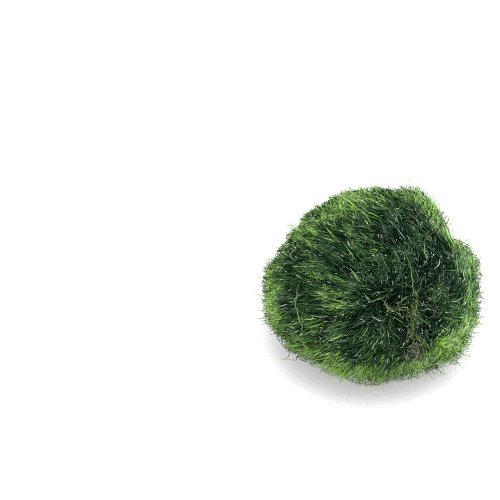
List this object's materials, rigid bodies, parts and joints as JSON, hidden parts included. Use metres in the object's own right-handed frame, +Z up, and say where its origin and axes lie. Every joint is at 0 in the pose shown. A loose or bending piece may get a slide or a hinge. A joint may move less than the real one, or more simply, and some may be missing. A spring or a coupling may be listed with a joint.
{
  "type": "marimo moss ball",
  "caption": "Marimo moss ball: a slightly squashed ball of green filamentous alga with a folded side lobe, standing on a small flat spot.",
  "frame": {"origin": "middle of the bounding box's bottom, in the plane of the flat spot that the ball stands on", "axes": "+Z up from the flat spot; +X along the widest extent, towards the folded side lobe; -Y is the side that faces the viewer"},
  "size_m": [0.05, 0.047, 0.0405],
  "materials": {
    "moss": "damp green filaments, dark between the locks and yellow-green at the tips"
  },
  "bodies": {
    "root": {"moss_ball": "moss"}
  },
  "joints": []
}
